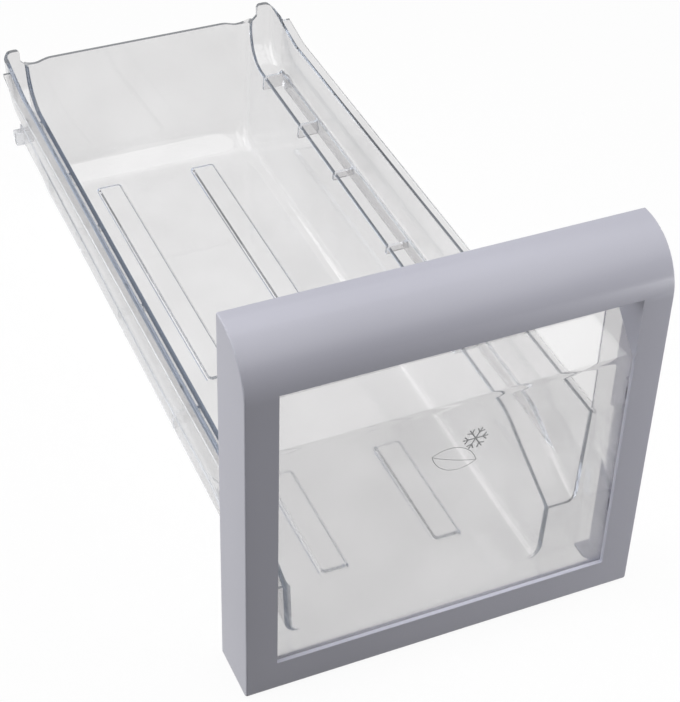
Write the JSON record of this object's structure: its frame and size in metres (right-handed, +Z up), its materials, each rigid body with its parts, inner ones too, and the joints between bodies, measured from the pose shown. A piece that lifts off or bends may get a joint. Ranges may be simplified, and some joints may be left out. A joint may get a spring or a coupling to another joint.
{
  "type": "refrigerator drawer",
  "caption": "Clear deep pull-out refrigerator drawer with running ledges on both sides and a grey clip-on front frame with a finger grip under its top bar.",
  "frame": {"origin": "on the floor plane, in the middle of the overall width and length", "axes": "+X to the right seen from the front, +Y to the back of the drawer, +Z up"},
  "size_m": [0.2, 0.4372, 0.204],
  "materials": {
    "clear_plastic": "clear, glossy",
    "grey_plastic": "satin"
  },
  "bodies": {
    "root": {"drawer_tub": "clear_plastic", "front_frame": "grey_plastic"}
  },
  "joints": []
}
